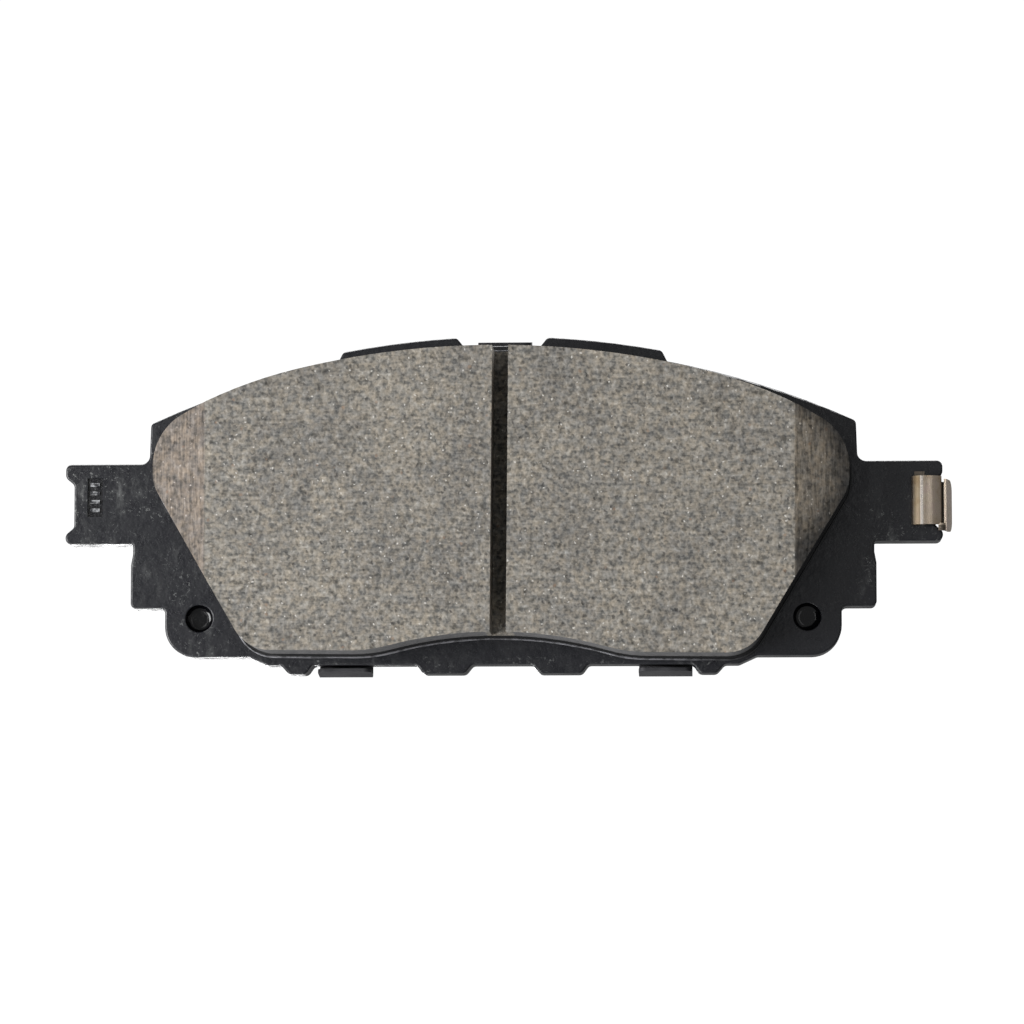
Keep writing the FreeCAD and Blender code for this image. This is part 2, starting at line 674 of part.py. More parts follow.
def add_windows(body):
    """Two round-ended grease windows, one each side of where the piston bears."""
    sketch = new_sketch(body, "WindowSketch", ALONG_Y, "Sizes.outer_shim_gauge")
    for side in (1, -1):
        inner = side * WINDOW_INNER
        outer = side * WINDOW_OUTER
        bulge = side * WINDOW_HALF
        draw(sketch, [
            line(point(inner, WINDOW_HALF), point(outer, WINDOW_HALF)),
            arc(point(outer, WINDOW_HALF), point(outer + bulge, 0), point(outer, -WINDOW_HALF)),
            line(point(outer, -WINDOW_HALF), point(inner, -WINDOW_HALF)),
            arc(point(inner, -WINDOW_HALF), point(inner - bulge, 0), point(inner, WINDOW_HALF)),
        ])
    pocket(body, "Windows", sketch, "Sizes.outer_shim_gauge")


def make_outer_shim():
    body = new_body("outer_shim")
    outline = new_sketch(body, "ShimOutline", ALONG_Y)
    draw(outline, whole(shim_half(OUTER_SHIM_SIDE)))
    pad(body, "ShimPad", outline, "Sizes.outer_shim_gauge")
    round_shim(body, OUTER_SHIM_SIDE, "Sizes.stud_radius")
    add_windows(body)
    lower_start = size("shim_bottom") + CLAW_OVERLAP
    upper_start = SHIM_CROWN[1] - CLAW_OVERLAP
    add_claw(body, "LeftClaw", "Sizes.shim_float - Sizes.claw_reach", size("lower_claw_root"), lower_start)
    add_claw(body, "RightClaw", "Sizes.shim_float + Sizes.claw_reach", size("lower_claw_root"), lower_start)
    add_claw(body, "UpperClaw", "Sizes.shim_float", size("upper_claw_root"), upper_start)
    round_claw_tips(body)
    return body


def round_claw_tips(body):
    """Rounds the two corners of each claw's tip, which are the short edges across the sheet there."""
    tip_y = body.Shape.BoundBox.YMin
    near_tip = 0.2
    names = []
    for index, edge in enumerate(body.Shape.Edges, start=1):
        short = edge.Length < 1.2 * size("outer_shim_gauge")
        if short and edge.BoundBox.YMax < tip_y + near_tip:
            names.append(f"Edge{index}")
    dress(body, "Fillet", "ClawTipRound", names, "Radius", "Sizes.claw_tip_round")


# ---------------------------------------------------------------- ear clip

EAR_GAP = 0.05                   # between the clip and the ear's faces
NOTCH_GAP = 0.1                  # between the clip's web and the notch's floor
CLIP_LIP = -PLATE_FRONT - EAR_GAP - size("clip_gauge") / 2
CLIP_LEG = -PLATE_BACK + EAR_GAP + size("clip_gauge") / 2
CLIP_WEB = size("ear_reach") - size("notch_depth") + NOTCH_GAP + size("clip_gauge") / 2
CLIP_BRIDGE = -PLATE_FRONT + 1.7     # middle of the strip that carries the wing's back
WING_FRONT = -PLATE_FRONT - 0.9
TAB_LEFT, TAB_RIGHT = 61.4, 62.9


# The clip is a bent strip, so each path below follows its middle, seen from above. Its corners are given as
# the reach along X, the place along Y, and the bend's radius.

def clip_band_path():
    """The front band: a lip on the ear, a crowned face, and the side that turns towards the notch."""
    return [
        (63.0, CLIP_LIP, 0),
        (61.13, CLIP_LIP, 0.25),
        (61.13, CLIP_LIP - 0.55, 0.25),
        (61.85, CLIP_LIP - 1.22, 1.6),
        (63.2, CLIP_LIP - 1.42, 4.0),
        (64.5, CLIP_LIP - 1.2, 1.9),
        (65.25, CLIP_LIP - 0.55, 0.35),
        (65.18, CLIP_LIP - 0.1, 0),
    ]


def clip_web_path():
    """The narrower strip that goes on from the band through the notch, and the leg behind the ear."""
    return [
        (65.25, CLIP_LIP - 0.5, 0),
        (65.15, CLIP_LIP - 0.02, 0.25),
        (CLIP_WEB, CLIP_LIP + 0.5, 0.25),
        (CLIP_WEB, CLIP_LEG, 0.4),
        (62.2, CLIP_LEG, 0.8),
        (60.9, CLIP_LEG + 0.5, 0),
    ]


def clip_wing_path():
    """The wing that springs against the bracket, standing off the ear's end."""
    return [(65.9, WING_FRONT, 0), (66.35, WING_FRONT + 1.7, 3.0), (66.9, WING_FRONT + 3.9, 0)]


def clip_link_path():
    """The strip that carries the wing, from the band's turned side to the wing's front edge."""
    return [(64.9, WING_FRONT - 0.1, 0), (65.45, WING_FRONT - 0.25, 0.4), (65.95, WING_FRONT + 0.35, 0)]


def clip_bridge_path(start):
    """The bridge from the web to the wing's back, or the outer part of it."""
    return [(start, CLIP_BRIDGE, 0), (66.5, CLIP_BRIDGE, 0)]


def add_strip(body, name, path, top, height):
    sketch = new_sketch(body, f"{name}Sketch", ALONG_Z, top)
    draw(sketch, strip(path, size("clip_gauge")))
    return pad(body, name, sketch, height, reversed_way=True)


def make_ear_clip():
    body = new_body("ear_clip")
    add_strip(body, "Band", clip_band_path(), "Sizes.clip_band_top", "Sizes.clip_band_height")
    add_strip(body, "Web", clip_web_path(), "Sizes.clip_web_top", "Sizes.clip_web_height")
    link_top = "Sizes.clip_band_top - Sizes.clip_band_height + Sizes.clip_link_overlap"
    add_strip(body, "Link", clip_link_path(), link_top, "Sizes.clip_link_height")
    add_strip(body, "Wing", clip_wing_path(), "Sizes.clip_wing_top", "Sizes.clip_wing_height")
    round_wing(body)
    add_strip(body, "BridgeRoot", clip_bridge_path(CLIP_WEB), "Sizes.clip_web_top", "Sizes.clip_web_height")
    add_strip(body, "Bridge", clip_bridge_path(65.22), "Sizes.clip_bridge_top",
              "Sizes.clip_bridge_height")
    tab = new_sketch(body, "TabSketch", ALONG_Z, "Sizes.clip_band_top + Sizes.clip_tab_rise")
    half_gauge = size("clip_gauge") / 2
    draw(tab, box_outline(TAB_LEFT, TAB_RIGHT, CLIP_LIP - half_gauge, CLIP_LIP + half_gauge))
    pad(body, "Tab", tab, "2 * Sizes.clip_tab_rise", reversed_way=True)
    return body


def round_wing(body):
    """Rounds the two rear corners of the wing."""
    shape = body.Shape
    names = []
    for index, edge in enumerate(shape.Edges, start=1):
        box = edge.BoundBox
        across = edge.Length < 1.3 * size("clip_gauge") and box.ZLength < 1e-6
        if across and box.XMin > shape.BoundBox.XMax - 0.5:
            names.append(f"Edge{index}")
    dress(body, "Fillet", "WingRound", names, "Radius", "Sizes.clip_wing_round")


# ---------------------------------------------------------------- build, check and write

CORE_OFFSET = "Sizes.outer_shim_gauge + Sizes.rubber_gauge"
FRONT_COAT_OFFSET = CORE_OFFSET + " + Sizes.inner_core_gauge"

nodes = [
    make_backing_plate(),
    make_adhesive_film(),
    make_underlayer(),
    make_friction_block(),
    make_inner_layer("inner_shim_front_rubber", FRONT_COAT_OFFSET, "Sizes.rubber_gauge"),
    make_inner_layer("inner_shim_core", CORE_OFFSET, "Sizes.inner_core_gauge"),
    make_inner_layer("inner_shim_rear_rubber", "Sizes.outer_shim_gauge", "Sizes.rubber_gauge"),
    make_outer_shim(),
    make_ear_clip(),
]
doc.recompute()

for item in doc.Objects:
    if "Invalid" in item.State or "Error" in item.State:
        raise RuntimeError(f"{item.Label} failed: {item.State}")

os.makedirs("parts", exist_ok=True)
for node in nodes:
    if node.Shape.isNull() or not node.Shape.isValid() or len(node.Shape.Solids) != 1:
        raise RuntimeError(f"{node.Label} is not one valid solid")
    node.Shape.exportStep(f"parts/{node.Label}.step")
    print(node.Label, round(node.Shape.Volume, 2))
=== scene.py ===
import math
import random

import bmesh
import bpy
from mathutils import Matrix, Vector


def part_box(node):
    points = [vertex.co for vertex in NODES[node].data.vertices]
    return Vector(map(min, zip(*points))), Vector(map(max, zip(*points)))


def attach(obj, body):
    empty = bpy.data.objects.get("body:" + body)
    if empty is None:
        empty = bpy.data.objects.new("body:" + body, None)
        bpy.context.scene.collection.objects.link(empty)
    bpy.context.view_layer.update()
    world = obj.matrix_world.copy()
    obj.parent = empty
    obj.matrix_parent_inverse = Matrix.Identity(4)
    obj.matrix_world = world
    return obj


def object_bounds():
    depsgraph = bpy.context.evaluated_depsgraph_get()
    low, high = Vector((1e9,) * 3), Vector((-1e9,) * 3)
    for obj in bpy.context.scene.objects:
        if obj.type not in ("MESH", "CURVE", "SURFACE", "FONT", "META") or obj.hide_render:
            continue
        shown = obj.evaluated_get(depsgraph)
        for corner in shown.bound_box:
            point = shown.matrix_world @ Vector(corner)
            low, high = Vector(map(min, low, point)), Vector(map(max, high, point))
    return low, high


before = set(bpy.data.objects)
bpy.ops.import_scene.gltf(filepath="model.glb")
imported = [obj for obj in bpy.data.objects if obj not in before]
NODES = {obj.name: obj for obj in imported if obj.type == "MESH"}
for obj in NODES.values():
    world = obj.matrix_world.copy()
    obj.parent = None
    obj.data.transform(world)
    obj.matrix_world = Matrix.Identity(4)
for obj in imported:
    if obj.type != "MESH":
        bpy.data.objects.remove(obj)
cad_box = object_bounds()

# A disc-brake pad seen on its friction side. X runs along the pad, Z is up and -Y faces the camera.

MM = 0.001


# ---------------------------------------------------------------- camera, light and floor

AIM = Vector((0.0, -6.9, -0.4)) * MM
VIEW_TURN = math.radians(2.8)       # camera's azimuth, towards the ear with the clip
VIEW_DROP = math.radians(5.5)       # camera's drop below the horizontal
VIEW_DISTANCE = 0.7
SENSOR_WIDTH = 36.0                 # mm
LENS = 164.76                       # mm
LENS_SHIFT = (0.00957, -0.00684)    # of the image's width: puts the aim a little left of and above the middle


def make_camera():
    data = bpy.data.cameras.new("camera")
    camera = bpy.data.objects.new("camera", data)
    bpy.context.scene.collection.objects.link(camera)
    towards_camera = Vector((
        math.sin(VIEW_TURN) * math.cos(VIEW_DROP),
        -math.cos(VIEW_TURN) * math.cos(VIEW_DROP),
        -math.sin(VIEW_DROP),
    ))
    camera.location = AIM + towards_camera * VIEW_DISTANCE
    camera.rotation_euler = (-towards_camera).to_track_quat("-Z", "Y").to_euler()
    data.sensor_width = SENSOR_WIDTH
    data.lens = LENS
    data.shift_x, data.shift_y = LENS_SHIFT
    data.clip_start = 0.01
    data.clip_end = 50.0
    bpy.context.scene.camera = camera


def from_direction(azimuth, elevation):
    """Unit vector towards a place seen from the pad. Azimuth 0 is the camera's side, positive towards +X."""
    a = math.radians(azimuth)
    e = math.radians(elevation)
    return Vector((math.sin(a) * math.cos(e), -math.cos(a) * math.cos(e), math.sin(e)))


def area_light(name, azimuth, elevation, distance, size, watts):
    data = bpy.data.lights.new(name, "AREA")
    data.shape = "RECTANGLE"
    data.size, data.size_y = size
    data.energy = watts
    lamp = bpy.data.objects.new(name, data)
    bpy.context.scene.collection.objects.link(lamp)
    direction = from_direction(azimuth, elevation)
    lamp.location = direction * distance
    lamp.rotation_euler = (-direction).to_track_quat("-Z", "Y").to_euler()
    lamp.visible_camera = False


def sun_light(name, azimuth, elevation, strength, softness):
    data = bpy.data.lights.new(name, "SUN")
    data.energy = strength
    data.angle = math.radians(softness)
    lamp = bpy.data.objects.new(name, data)
    bpy.context.scene.collection.objects.link(lamp)
    lamp.rotation_euler = (-from_direction(azimuth, elevation)).to_track_quat("-Z", "Y").to_euler()


BACKDROP_LIGHT = 1.05               # what the camera sees behind the pad
ROOM_LIGHT = (0.21, 0.31)           # from the dimmer right-hand side to the left-hand side
ROOM_COLOUR = (0.985, 0.99, 1.0, 1)
ROOM_BRIGHT_SIDE = -75              # degrees of azimuth
FLOOR_BELOW = 0.055                 # from the pad's lowest point to the floor
FLOOR_REACH = 0.32                  # the floor is a disc that has faded out by this far from the pad
FLOOR_SOLID = 0.17                  # and is still whole up to here
FLOOR_SIDES = 96


def make_world():
    """White behind everything for the camera, and a dimmer room that lights the pad."""
    world = bpy.data.worlds.new("studio")
    world.use_nodes = True
    tree = world.node_tree
    tree.nodes.clear()
    sight = tree.nodes.new("ShaderNodeLightPath")
    backdrop = tree.nodes.new("ShaderNodeBackground")
    backdrop.inputs["Color"].default_value = (1, 1, 1, 1)
    backdrop.inputs["Strength"].default_value = BACKDROP_LIGHT
    room = tree.nodes.new("ShaderNodeBackground")
    room.inputs["Color"].default_value = ROOM_COLOUR
    heading = tree.nodes.new("ShaderNodeTexCoord")
    leftward = tree.nodes.new("ShaderNodeVectorMath")
    leftward.operation = "DOT_PRODUCT"
    leftward.inputs[1].default_value = from_direction(ROOM_BRIGHT_SIDE, 0)
    tree.links.new(heading.outputs["Generated"], leftward.inputs[0])
    level = tree.nodes.new("ShaderNodeMapRange")
    level.inputs["From Min"].default_value = -1.0
    level.inputs["To Min"].default_value = ROOM_LIGHT[0]
    level.inputs["To Max"].default_value = ROOM_LIGHT[1]
    tree.links.new(leftward.outputs["Value"], level.inputs["Value"])
    tree.links.new(level.outputs["Result"], room.inputs["Strength"])
    mix = tree.nodes.new("ShaderNodeMixShader")
    out = tree.nodes.new("ShaderNodeOutputWorld")
    tree.links.new(sight.outputs["Is Camera Ray"], mix.inputs["Fac"])
    tree.links.new(room.outputs["Background"], mix.inputs[1])
    tree.links.new(backdrop.outputs["Background"], mix.inputs[2])
    tree.links.new(mix.outputs["Shader"], out.inputs["Surface"])
    bpy.context.scene.world = world


def floor_material():
    material = bpy.data.materials.new("floor")
    material.use_nodes = True
    tree = material.node_tree
    shader = tree.nodes["Principled BSDF"]
    shader.inputs["Base Color"].default_value = (0.92, 0.92, 0.92, 1)
    shader.inputs["Roughness"].default_value = 0.9
    shader.inputs["Specular IOR Level"].default_value = 0.2
    place = tree.nodes.new("ShaderNodeTexCoord")
    reach = tree.nodes.new("ShaderNodeVectorMath")
    reach.operation = "LENGTH"
    tree.links.new(place.outputs["Object"], reach.inputs[0])
    fade = tree.nodes.new("ShaderNodeMapRange")
    fade.interpolation_type = "SMOOTHSTEP"
    fade.inputs["From Min"].default_value = FLOOR_SOLID
    fade.inputs["From Max"].default_value = FLOOR_REACH
    fade.inputs["To Min"].default_value = 1.0
    fade.inputs["To Max"].default_value = 0.0
    tree.links.new(reach.outputs["Value"], fade.inputs["Value"])
    tree.links.new(fade.outputs["Result"], shader.inputs["Alpha"])
    return material


def make_floor():
    low, high = cad_box
    rim = []
    for index in range(FLOOR_SIDES):
        angle = 2 * math.pi * index / FLOOR_SIDES
        rim.append((FLOOR_REACH * math.cos(angle), FLOOR_REACH * math.sin(angle), 0.0))
    mesh = bpy.data.meshes.new("floor")
    mesh.from_pydata(rim, [], [tuple(range(FLOOR_SIDES))])
    floor = bpy.data.objects.new("floor", mesh)
    floor.location = (0.0, (low.y + high.y) / 2, low.z - FLOOR_BELOW)
    bpy.context.scene.collection.objects.link(floor)
    mesh.materials.append(floor_material())
    floor.visible_diffuse = False
    floor.visible_glossy = False
    floor.visible_shadow = False


def make_studio():
    make_world()
    make_floor()
    sun_light("overhead", azimuth=-155, elevation=62, strength=2.6, softness=40)
    area_light("key", azimuth=-58, elevation=-8, distance=0.55, size=(0.34, 0.34), watts=3.8)
    area_light("strip", azimuth=-18.6, elevation=5, distance=0.80, size=(0.03, 0.50), watts=0.26)
    area_light("right_fill", azimuth=17, elevation=5, distance=0.80, size=(0.10, 0.50), watts=0.16)
    area_light("under", azimuth=-75, elevation=-62, distance=0.45, size=(0.20, 0.20), watts=0.7)
    area_light("behind_low", azimuth=-166.8, elevation=-6, distance=0.50, size=(0.10, 0.05), watts=0.16)
    area_light("back_fill", azimuth=150, elevation=30, distance=1.1, size=(0.9, 0.6), watts=6.0)


# ---------------------------------------------------------------- node helpers

class Surface:
    """A material whose pattern is worked out from the position on the piece, in millimetres."""

    def __init__(self, name):
        self.material = bpy.data.materials.new(name)
        self.material.use_nodes = True
        self.tree = self.material.node_tree
        self.shader = self.tree.nodes["Principled BSDF"]
        place = self.tree.nodes.new("ShaderNodeTexCoord")
        self.place = self.vector("SCALE", place.outputs["Object"], scale=1 / MM)

    def put(self, socket, value):
        if isinstance(value, bpy.types.NodeSocket):
            self.tree.links.new(value, socket)
        elif isinstance(value, tuple) and len(value) == 3 and socket.type == "RGBA":
            socket.default_value = (*value, 1)
        else:
            socket.default_value = value

    def vector(self, operation, a, b=None, scale=None):
        node = self.tree.nodes.new("ShaderNodeVectorMath")
        node.operation = operation
        self.put(node.inputs[0], a)
        if b is not None:
            self.put(node.inputs[1], b)
        if scale is not None:
            self.put(node.inputs["Scale"], scale)
        return node.outputs[0]

    def math(self, operation, a, b=0.0, clamp=False):
        node = self.tree.nodes.new("ShaderNodeMath")
        node.operation = operation
        node.use_clamp = clamp
        self.put(node.inputs[0], a)
        self.put(node.inputs[1], b)
        return node.outputs[0]

    def product(self, result, *factors):
        for factor in factors:
            result = self.math("MULTIPLY", result, factor)
        return result

    def total(self, result, *terms):
        for term in terms:
            result = self.math("ADD", result, term)
        return result

    def outside(self, mask):
        return self.math("SUBTRACT", 1.0, mask)

    def stretched(self, factors, shift=(0, 0, 0)):
        return self.vector("ADD", self.vector("MULTIPLY", self.place, factors), shift)

    def noise(self, per_mm, place=None, detail=2.0, roughness=0.5, colour=False):
        node = self.tree.nodes.new("ShaderNodeTexNoise")
        self.put(node.inputs["Vector"], place if place is not None else self.place)
        node.inputs["Scale"].default_value = per_mm
        node.inputs["Detail"].default_value = detail
        node.inputs["Roughness"].default_value = roughness
        return node.outputs["Color" if colour else "Fac"]

    def spots(self, per_mm, place, channel, chosen, fade):
        """Round spots in some of the cells: a channel of the cell's random colour picks them."""
        node = self.tree.nodes.new("ShaderNodeTexVoronoi")
        self.put(node.inputs["Vector"], place)
        node.inputs["Scale"].default_value = per_mm
        picked = self.ramp(self.axis(channel, node.outputs["Color"]), *chosen)
        return self.product(picked, self.ramp(node.outputs["Distance"], *fade))

    def ramp(self, value, low, high, to_low=0.0, to_high=1.0):
        node = self.tree.nodes.new("ShaderNodeMapRange")
        node.interpolation_type = "SMOOTHSTEP"
        self.put(node.inputs["Value"], value)
        node.inputs["From Min"].default_value = low
        node.inputs["From Max"].default_value = high
        node.inputs["To Min"].default_value = to_low
        node.inputs["To Max"].default_value = to_high
        return node.outputs["Result"]

    def between(self, value, rise, fall):
        """1 from the end of the rise to the start of the fall, and 0 outside both."""
        return self.product(self.ramp(value, *rise), self.ramp(value, fall[1], fall[0]))

    def palette(self, value, stops):
        node = self.tree.nodes.new("ShaderNodeValToRGB")
        node.color_ramp.interpolation = "LINEAR"
        elements = node.color_ramp.elements
        while len(elements) < len(stops):
            elements.new(0.5)
        for element, (position, colour) in zip(elements, stops):
            element.position = position
            element.color = (*colour, 1)
        self.put(node.inputs["Fac"], value)
        return node.outputs["Color"]

    def mix(self, amount, a, b, blend="MIX"):
        node = self.tree.nodes.new("ShaderNodeMix")
        node.data_type = "RGBA"
        node.blend_type = blend
        self.put(node.inputs["Factor"], amount)
        self.put(node.inputs[6], a)
        self.put(node.inputs[7], b)
        return node.outputs[2]

    def tinted(self, colour, tint):
        return self.mix(1.0, colour, tint, "MULTIPLY")

    def blend(self, amount, a, b):
        """Numbers rather than colours, from a to b."""
        node = self.tree.nodes.new("ShaderNodeMix")
        node.data_type = "FLOAT"
        self.put(node.inputs[0], amount)
        self.put(node.inputs[2], a)
        self.put(node.inputs[3], b)
        return node.outputs[0]

    def axis(self, name, place=None):
        node = self.tree.nodes.new("ShaderNodeSeparateXYZ")
        self.put(node.inputs[0], place if place is not None else self.place)
        return node.outputs[name]

    def far_from(self, middle):
        """Distance from (reach, height), where reach is the way along X to either side of mid length."""
        beside = self.math("SUBTRACT", self.math("ABSOLUTE", self.axis("X")), middle[0])
        above = self.math("SUBTRACT", self.axis("Z"), middle[1])
        return self.math("SQRT", self.total(self.product(beside, beside), self.product(above, above)))

    def facing(self, name):
        """How far the surface faces along an axis, without sign."""
        geometry = self.tree.nodes.new("ShaderNodeNewGeometry")
        return self.math("ABSOLUTE", self.axis(name, geometry.outputs["Normal"]))

    def bump(self, height, distance_mm, strength, under=None):
        node = self.tree.nodes.new("ShaderNodeBump")
        node.inputs["Strength"].default_value = strength
        node.inputs["Distance"].default_value = distance_mm * MM
        self.put(node.inputs["Height"], height)
        if under is not None:
            self.put(node.inputs["Normal"], under)
        return node.outputs["Normal"]

    def finish(self, colour, roughness, normal, metallic=0.0, specular=0.5):
        self.put(self.shader.inputs["Base Color"], colour)
        self.put(self.shader.inputs["Roughness"], roughness)
        self.put(self.shader.inputs["Metallic"], metallic)
        self.put(self.shader.inputs["Normal"], normal)
        self.shader.inputs["Specular IOR Level"].default_value = specular
        return self.material


def dress(node, material):
    mesh = NODES[node].data
    mesh.materials.clear()
    mesh.materials.append(material)


# ---------------------------------------------------------------- materials

# Millimetres. Reach is the way along X to either side of mid length.

CHAMFER_REACH = 43.5                # from mid length to where an end chamfer starts
CHAMFER_BLUR = 0.25                 # half the width of the change there
CHAMFER_MIDDLE = (38.5, 3.5)        # reach and height of the circle that a chamfer's outer edge follows
CHAMFER_PAINTED_SHADE = (8.0, 13.0)          # from there, from the chamfer's even part to its outer edge, darkened as painted shade
SLOT_EDGE = (2.2, 1.9)              # reach, from just outside the slot to just inside it
DIMPLE_AT = (45.35, -17.25)         # reach and height
DIMPLE_EDGE = (2.4, 2.2)            # from its middle, from outside to inside
MARK_AT = (-61.15, 0.0, 1.0)        # middle of the stamped field
MARK_EDGES = ((1.4, 1.2), (3.2, 3.0))    # from its middle, along X and along Z
BAR_EDGES = ((0.95, 0.8), (2.7, 2.5))    # the same for the bars in it
PLATE_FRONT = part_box("backing_plate")[0].y / MM
FILM_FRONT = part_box("adhesive_film")[0].y / MM
CLIP_STAIN_AND_SHADE = ((61.1, 61.35), (62.05, 62.35))     # X, fading in and out: a brown stain, darkened further as painted shade over the lamp's highlight
# Where a pale line runs down the clip's crown, along X, fading in and out: a painted highlight.
CLIP_PAINTED_HIGHLIGHT = ((62.1, 62.3), (62.5, 62.75))
CLIP_FOLD = ((65.28, 65.45), (65.85, 66.05))
CLIP_FOLD_FRONT = (-7.75, -7.5)     # Y, from its own colour to painted shade in the fold
CLIP_TAB_ROOT = (3.5, 3.65)         # Z
CLIP_LINK = ((66.1, 65.9), (-3.6, -3.9))         # X and Z, from its own colour to darker


def friction_material():
    s = Surface("friction")
    warp = s.vector("SCALE", s.vector("SUBTRACT", s.noise(1.9, colour=True), (0.5, 0.5, 0.5)), scale=0.5)
    place = s.vector("ADD", s.place, warp)
    x = s.axis("X")
    reach = s.math("ABSOLUTE", x)
    in_chamfer = s.ramp(reach, CHAMFER_REACH - CHAMFER_BLUR, CHAMFER_REACH + CHAMFER_BLUR)

    coarse = s.noise(1.15, place, detail=1.0)
    fine = s.noise(2.3, s.vector("ADD", place, (9.0, 4.0, 7.0)), detail=1.0)
    across = s.noise(1.0, s.stretched((0.35, 0.5, 2.6)), roughness=0.6)
    along = s.noise(1.0, s.stretched((2.6, 0.5, 0.30), (5.0, 0.0, 0.0)), roughness=0.6)
    streaks = s.blend(in_chamfer, across, along)
    grains = s.blend(0.44, coarse, fine)
    tone = s.blend(s.blend(in_chamfer, 0.22, 0.46), grains, streaks)
    colour = s.palette(tone, [
        (0.30, (0.068, 0.065, 0.058)),
        (0.42, (0.160, 0.153, 0.138)),
        (0.50, (0.262, 0.243, 0.213)),
        (0.58, (0.350, 0.322, 0.280)),
        (0.70, (0.520, 0.495, 0.445)),
    ])
    hue = s.noise(0.9, s.vector("ADD", s.place, (17.0, 2.0, 29.0)))
    colour = s.tinted(colour, s.palette(hue, [(0.35, (0.955, 0.985, 1.03)), (0.65, (1.045, 1.005, 0.95))]))
    patches = s.blend(0.45, s.noise(0.10, detail=1.0), s.noise(0.33, detail=1.0))
    colour = s.tinted(colour, s.palette(patches, [(0.38, (0.86, 0.87, 0.89)), (0.62, (1.13, 1.12, 1.10))]))

    dark_place = s.vector("ADD", place, (7.0, 3.0, 5.0))
    is_dark = s.spots(1.1, dark_place, "Y", chosen=(0.66, 0.80), fade=(0.44, 0.16))
    colour = s.mix(s.product(is_dark, 0.62), colour, (0.050, 0.048, 0.046))
    bright_place = s.vector("ADD", place, (31.0, 11.0, 17.0))
    is_bright = s.spots(1.6, bright_place, "Z", chosen=(0.82, 0.92), fade=(0.30, 0.10))
    colour = s.mix(s.product(is_bright, 0.75), colour, (0.85, 0.82, 0.76))
    copper_place = s.vector("ADD", place, (3.0, 41.0, 23.0))
    is_copper = s.spots(0.8, copper_place, "X", chosen=(0.90, 0.94), fade=(0.26, 0.12))
    colour = s.mix(s.product(is_copper, 0.5), colour, (0.33, 0.22, 0.15))

    right_chamfer = s.product(in_chamfer, s.ramp(x, -1.0, 1.0))
    left_chamfer = s.math("SUBTRACT", in_chamfer, right_chamfer)
    colour = s.mix(left_chamfer, colour, s.tinted(colour, (0.73, 0.675, 0.66)))
    # Right chamfer: its own warm tone, darkening towards its outer edge as painted shade.
    toward_shaded_rim = s.ramp(s.far_from(CHAMFER_MIDDLE), *CHAMFER_PAINTED_SHADE)
    right_tone_and_shade = s.mix(toward_shaded_rim, (1.02, 0.96, 0.89), (0.24, 0.24, 0.25))
    colour = s.mix(right_chamfer, colour, s.tinted(colour, right_tone_and_shade))

    in_slot = s.ramp(reach, *SLOT_EDGE)
    is_wall = s.math("SUBTRACT", s.ramp(s.facing("Y"), 0.6, 0.3), in_slot, clamp=True)
    # Painted shade: the block's side walls are darker towards the right.
    shaded_right = s.ramp(x, 33.0, 40.0)
    skin_tone = s.blend(0.5, s.noise(0.8, detail=4, roughness=0.65), s.noise(2.4, roughness=0.6))
    skin = s.palette(skin_tone, [(0.36, (0.085, 0.085, 0.089)), (0.64, (0.215, 0.212, 0.212))])
    skin = s.mix(shaded_right, skin, s.tinted(skin, (0.12, 0.12, 0.13)))
    colour = s.mix(is_wall, colour, skin)

    height = s.total(tone, s.product(is_bright, 0.1), s.product(is_dark, -0.35))
    height = s.product(height, s.blend(is_wall, 1.0, 0.7))
    roughness = s.blend(is_wall, s.blend(is_bright, 0.85, 0.45), 0.65)
    return s.finish(colour, roughness, s.bump(height, 0.25, 0.6), specular=0.3)


def underlayer_material():
    s = Surface("underlayer")
    tone = s.noise(1.1, detail=4, roughness=0.6)
    # Near black: partly the layer's own dark colour, partly painted shade for the dark line at the block's
    # foot.
    colour = s.palette(tone, [(0.3, (0.010, 0.010, 0.011)), (0.7, (0.022, 0.022, 0.023))])
    grain = s.noise(5.0)
    return s.finish(colour, s.ramp(tone, 0.3, 0.7, 0.6, 0.8), s.bump(grain, 0.03, 0.5), specular=0.2)


def adhesive_material():
    """Near black where it lies flat. The squeezed-out bead is glossier and painted paler as a painted
    highlight, fading out towards the right as painted shade.
    """
    s = Surface("adhesive")
    on_bead = s.ramp(s.axis("Y"), FILM_FRONT - 0.01, FILM_FRONT - 0.05)
    # Painted highlight on the bead, broken up, and painted shade that takes it away towards the right.
    shaded_right = s.ramp(s.total(s.axis("X"), s.product(s.axis("Z"), -0.4)), 30.0, 48.0)
    broken = s.ramp(s.noise(0.55, detail=4, roughness=0.65), 0.40, 0.56)
    bead_highlight = s.product(on_bead, s.blend(shaded_right, s.blend(broken, 0.35, 1.0), 0.03))
    colour = s.mix(bead_highlight, (0.011, 0.011, 0.012), (0.20, 0.20, 0.215))
    roughness = s.blend(bead_highlight, 0.55, 0.30)
    return s.finish(colour, roughness, s.bump(s.noise(2.2, detail=3), 0.06, 0.5))


